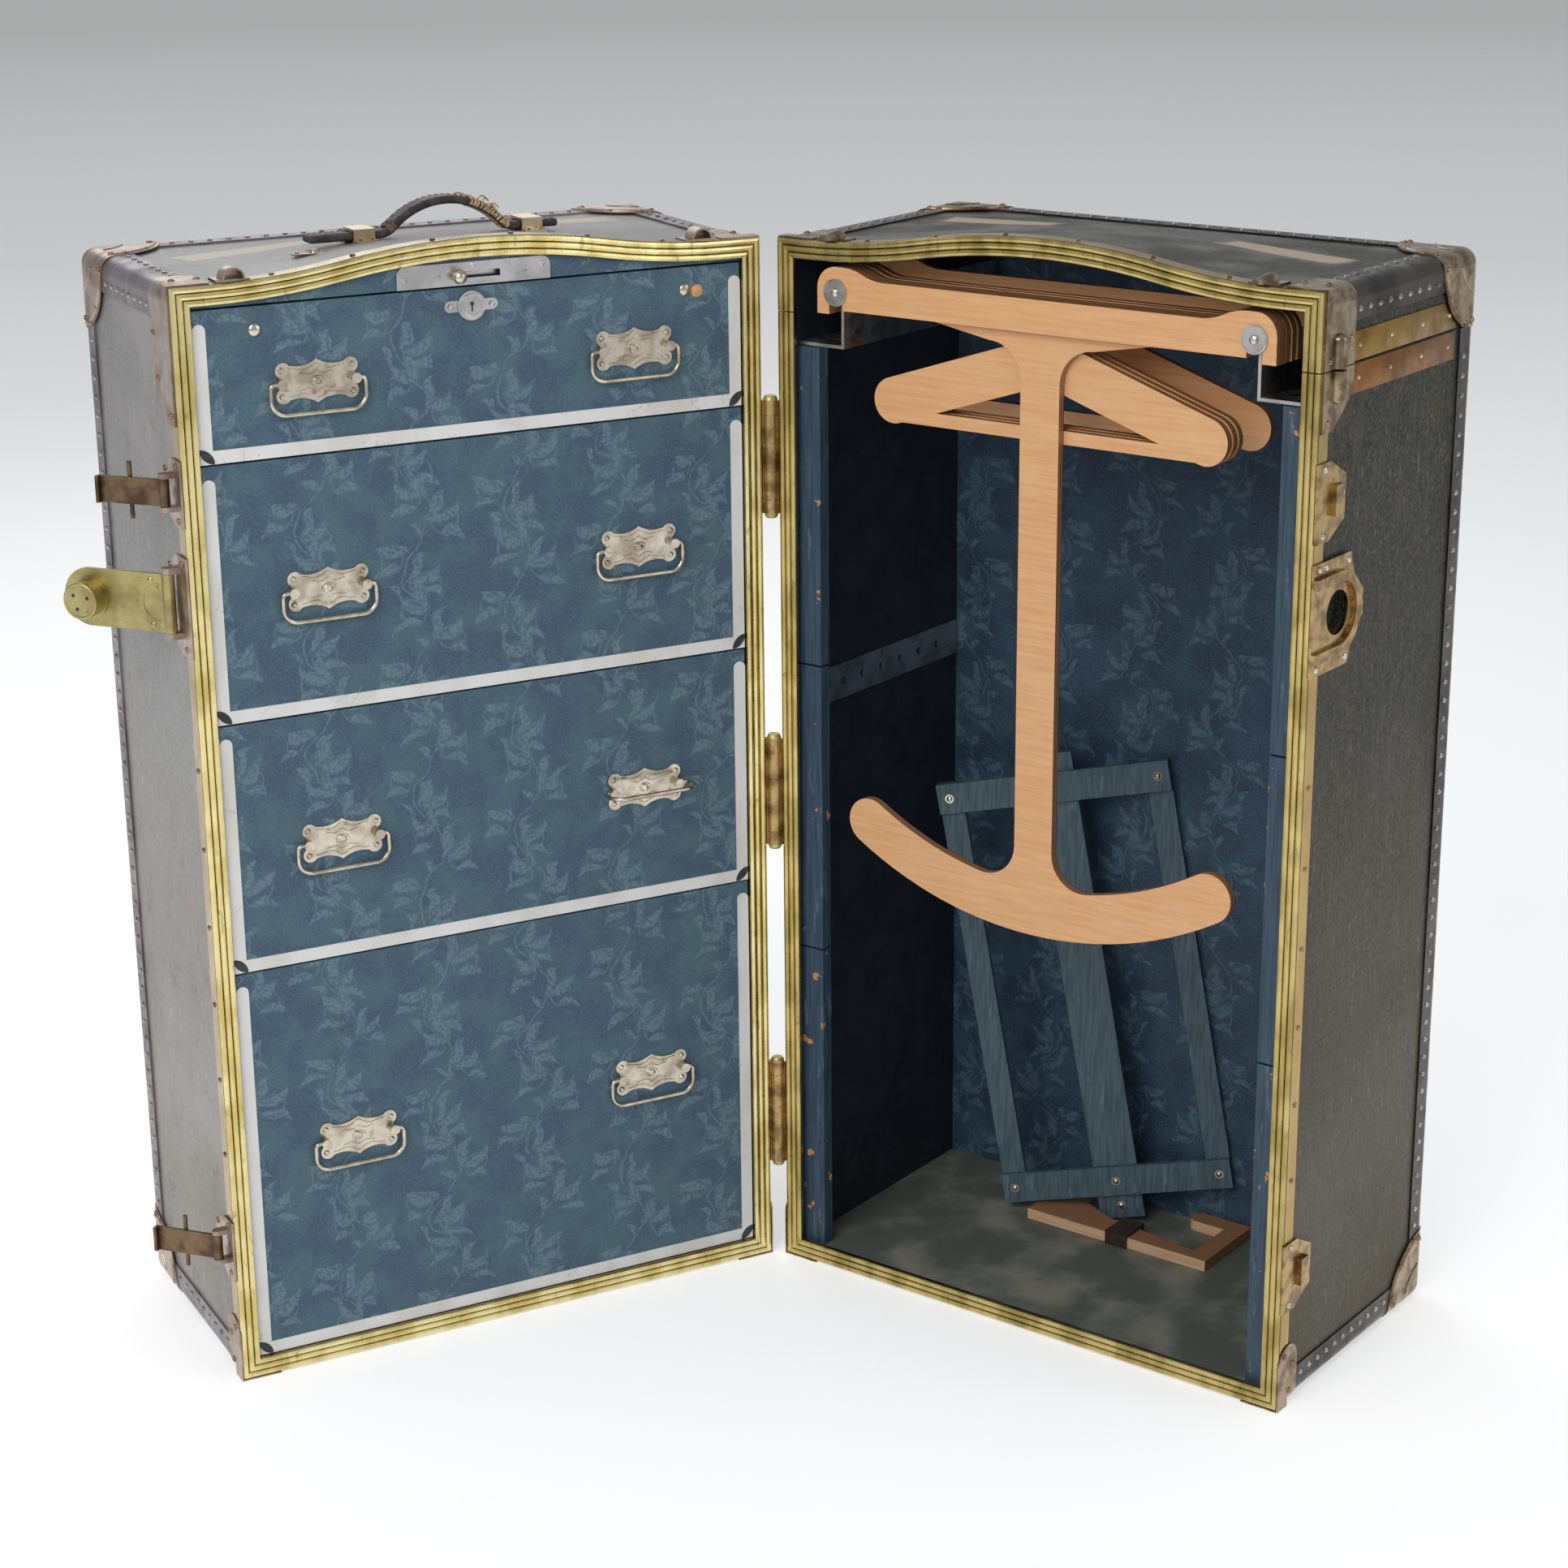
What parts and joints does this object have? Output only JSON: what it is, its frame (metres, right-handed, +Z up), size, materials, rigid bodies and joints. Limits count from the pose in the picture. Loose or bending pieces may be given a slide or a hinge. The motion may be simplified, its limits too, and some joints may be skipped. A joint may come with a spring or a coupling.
{
  "type": "wardrobe trunk",
  "caption": "Upright wardrobe trunk standing open, with drawers in one half, hangers on rails behind an anchor-shaped follower in the other, and a lifting lid.",
  "frame": {"origin": "on the floor under the middle of the drawer half", "axes": "+Z up; the drawers open towards -Y; the trunk hinges are on the +X side"},
  "size_m": [1.1475, 0.7809, 1.0587],
  "materials": {
    "vulcanised_fibre": "satin",
    "reeded_brass": "satin",
    "binding_steel": "satin",
    "cap_metal": "satin",
    "latch_brass": "satin",
    "catch_metal": "satin",
    "blue_paper": "matte",
    "nickel": "polished",
    "steel_plate": "satin",
    "handle_leather": "worn",
    "plywood": "satin",
    "painted_wood": "matte",
    "birch": "matte",
    "strap_leather": "worn"
  },
  "bodies": {
    "drawer_half": {"drawer_half_walls": "vulcanised_fibre", "drawer_half_top": "vulcanised_fibre", "drawer_half_binding": "binding_steel", "drawer_half_valance": "reeded_brass", "drawer_half_corner_caps": "cap_metal", "drawer_runners": "painted_wood", "drawer_fascia": "blue_paper", "bolt_plate": "steel_plate", "handle_loops": "latch_brass", "latch_bases": "latch_brass", "drawer_half_hinge_leaves": "latch_brass", "hinge_pins": "latch_brass", "dowel_cups": "cap_metal"},
    "drawer_bolt": {"drawer_bolt": "nickel"},
    "carry_handle": {"carry_handle": "handle_leather"},
    "hasp": {"hasp": "latch_brass"},
    "upper_catch": {"upper_catch": "catch_metal"},
    "lower_catch": {"lower_catch": "catch_metal"},
    "lock_plug": {"lock_plug": "steel_plate"},
    "hanger_half": {"hanger_half_walls": "vulcanised_fibre", "hanger_half_binding": "binding_steel", "hanger_half_valance": "reeded_brass", "hanger_half_fittings": "cap_metal", "hanger_rails": "steel_plate", "corner_battens": "painted_wood", "perforated_strip": "steel_plate", "hanger_half_hinge_leaves": "latch_brass", "catch_strikes": "latch_brass", "hasp_receiver": "latch_brass"},
    "lid": {"lid_shell": "vulcanised_fibre", "lid_binding": "binding_steel", "lid_valance": "reeded_brass", "lid_fittings": "cap_metal"},
    "follower": {"retainer_bar": "plywood", "retainer_washers": "steel_plate", "garment_anchor": "plywood"},
    "slat_rack": {"slat_rack": "painted_wood"},
    "loose_board": {"loose_board": "birch", "board_strap": "strap_leather"},
    "drawer_1": {"drawer_1": "blue_paper", "drawer_1_metalwork": "nickel", "drawer_lock": "steel_plate"},
    "drawer_1_bail_left": {"drawer_1_bail_left": "nickel"},
    "drawer_1_bail_right": {"drawer_1_bail_right": "nickel"},
    "hanger_1": {"hanger_1": "plywood"},
    "drawer_2": {"drawer_2": "blue_paper", "drawer_2_metalwork": "nickel"},
    "drawer_2_bail_left": {"drawer_2_bail_left": "nickel"},
    "drawer_2_bail_right": {"drawer_2_bail_right": "nickel"},
    "hanger_2": {"hanger_2": "plywood"},
    "drawer_3": {"drawer_3": "blue_paper", "drawer_3_metalwork": "nickel"},
    "drawer_3_bail_left": {"drawer_3_bail_left": "nickel"},
    "drawer_3_bail_right": {"drawer_3_bail_right": "nickel"},
    "hanger_3": {"hanger_3": "plywood"},
    "drawer_4": {"drawer_4": "blue_paper", "drawer_4_metalwork": "nickel"},
    "drawer_4_bail_left": {"drawer_4_bail_left": "nickel"},
    "drawer_4_bail_right": {"drawer_4_bail_right": "nickel"},
    "hanger_4": {"hanger_4": "plywood"}
  },
  "joints": [
    {"name": "trunk_hinge", "type": "hinge", "parent": "drawer_half", "child": "hanger_half", "pos_m": [0.2847, -0.134, 0.487], "axis": [0, 0, 1], "range_deg": [-115.4, 60]},
    {"name": "drawer_1_slide", "type": "slide", "parent": "drawer_half", "child": "drawer_1", "axis": [0, -1, 0], "range_m": [0, 0.2]},
    {"name": "drawer_1_bail_left_swing", "type": "hinge", "parent": "drawer_1", "child": "drawer_1_bail_left", "pos_m": [-0.15, -0.132, 0.926], "axis": [-1, 0, 0], "range_deg": [0, 150]},
    {"name": "drawer_1_bail_right_swing", "type": "hinge", "parent": "drawer_1", "child": "drawer_1_bail_right", "pos_m": [0.15, -0.132, 0.926], "axis": [-1, 0, 0], "range_deg": [0, 150]},
    {"name": "drawer_2_slide", "type": "slide", "parent": "drawer_half", "child": "drawer_2", "axis": [0, -1, 0], "range_m": [0, 0.2]},
    {"name": "drawer_2_bail_left_swing", "type": "hinge", "parent": "drawer_2", "child": "drawer_2_bail_left", "pos_m": [-0.15, -0.132, 0.743], "axis": [-1, 0, 0], "range_deg": [0, 150]},
    {"name": "drawer_2_bail_right_swing", "type": "hinge", "parent": "drawer_2", "child": "drawer_2_bail_right", "pos_m": [0.15, -0.132, 0.743], "axis": [-1, 0, 0], "range_deg": [0, 150]},
    {"name": "drawer_3_slide", "type": "slide", "parent": "drawer_half", "child": "drawer_3", "axis": [0, -1, 0], "range_m": [0, 0.2]},
    {"name": "drawer_3_bail_left_swing", "type": "hinge", "parent": "drawer_3", "child": "drawer_3_bail_left", "pos_m": [-0.15, -0.132, 0.511], "axis": [-1, 0, 0], "range_deg": [0, 150]},
    {"name": "drawer_3_bail_right_swing", "type": "hinge", "parent": "drawer_3", "child": "drawer_3_bail_right", "pos_m": [0.15, -0.132, 0.511], "axis": [-1, 0, 0], "range_deg": [-94, 60]},
    {"name": "drawer_4_slide", "type": "slide", "parent": "drawer_half", "child": "drawer_4", "axis": [0, -1, 0], "range_m": [0, 0.2]},
    {"name": "drawer_4_bail_left_swing", "type": "hinge", "parent": "drawer_4", "child": "drawer_4_bail_left", "pos_m": [-0.15, -0.132, 0.221], "axis": [-1, 0, 0], "range_deg": [0, 150]},
    {"name": "drawer_4_bail_right_swing", "type": "hinge", "parent": "drawer_4", "child": "drawer_4_bail_right", "pos_m": [0.15, -0.132, 0.221], "axis": [-1, 0, 0], "range_deg": [0, 150]},
    {"name": "lock_plug_turn", "type": "hinge", "parent": "drawer_1", "child": "lock_plug", "pos_m": [-0.0055, -0.1295, 0.978], "axis": [0, 1, 0], "range_deg": [0, 90]},
    {"name": "bolt_slide", "type": "slide", "parent": "drawer_half", "child": "drawer_bolt", "axis": [1, 0, 0], "range_m": [0, 0.034]},
    {"name": "handle_play", "type": "slide", "parent": "drawer_half", "child": "carry_handle", "axis": [1, 0, 0], "range_m": [-0.006, 0.006]},
    {"name": "upper_catch_swing", "type": "hinge", "parent": "drawer_half", "child": "upper_catch", "pos_m": [-0.286, -0.1128, 0.84], "axis": [0, 0, -1], "range_deg": [-137, 43]},
    {"name": "lower_catch_swing", "type": "hinge", "parent": "drawer_half", "child": "lower_catch", "pos_m": [-0.286, -0.1128, 0.132], "axis": [0, 0, -1], "range_deg": [-137, 43]},
    {"name": "hasp_swing", "type": "hinge", "parent": "drawer_half", "child": "hasp", "pos_m": [-0.285, -0.1015, 0.74], "axis": [0, 0, -1], "range_deg": [-138.4, 40.6]},
    {"name": "lid_hinge_turn", "type": "hinge", "parent": "hanger_half", "child": "lid", "pos_m": [0.67402, -0.2643, 0.9495], "axis": [-0.4289, 0.9033, 0], "range_deg": [0, 95]},
    {"name": "follower_slide", "type": "slide", "parent": "hanger_half", "child": "follower", "axis": [-0.9033, -0.4289, 0], "range_m": [0, 0.003]},
    {"name": "hanger_1_slide", "type": "slide", "parent": "hanger_half", "child": "hanger_1", "axis": [0.9033, 0.4289, 0], "range_m": [0, 0.003]},
    {"name": "hanger_2_slide", "type": "slide", "parent": "hanger_half", "child": "hanger_2", "axis": [0.9033, 0.4289, 0], "range_m": [-0.003, 0.003]},
    {"name": "hanger_3_slide", "type": "slide", "parent": "hanger_half", "child": "hanger_3", "axis": [0.9033, 0.4289, 0], "range_m": [-0.003, 0.045]},
    {"name": "hanger_4_slide", "type": "slide", "parent": "hanger_half", "child": "hanger_4", "axis": [0.9033, 0.4289, 0], "range_m": [-0.04, 0.16]},
    {"name": "rack_lift", "type": "slide", "parent": "hanger_half", "child": "slat_rack", "axis": [0, 0, 1], "range_m": [0, 0.3]},
    {"name": "board_slide", "type": "slide", "parent": "hanger_half", "child": "loose_board", "axis": [-0.9033, -0.4289, 0], "range_m": [0, 0.16]}
  ]
}
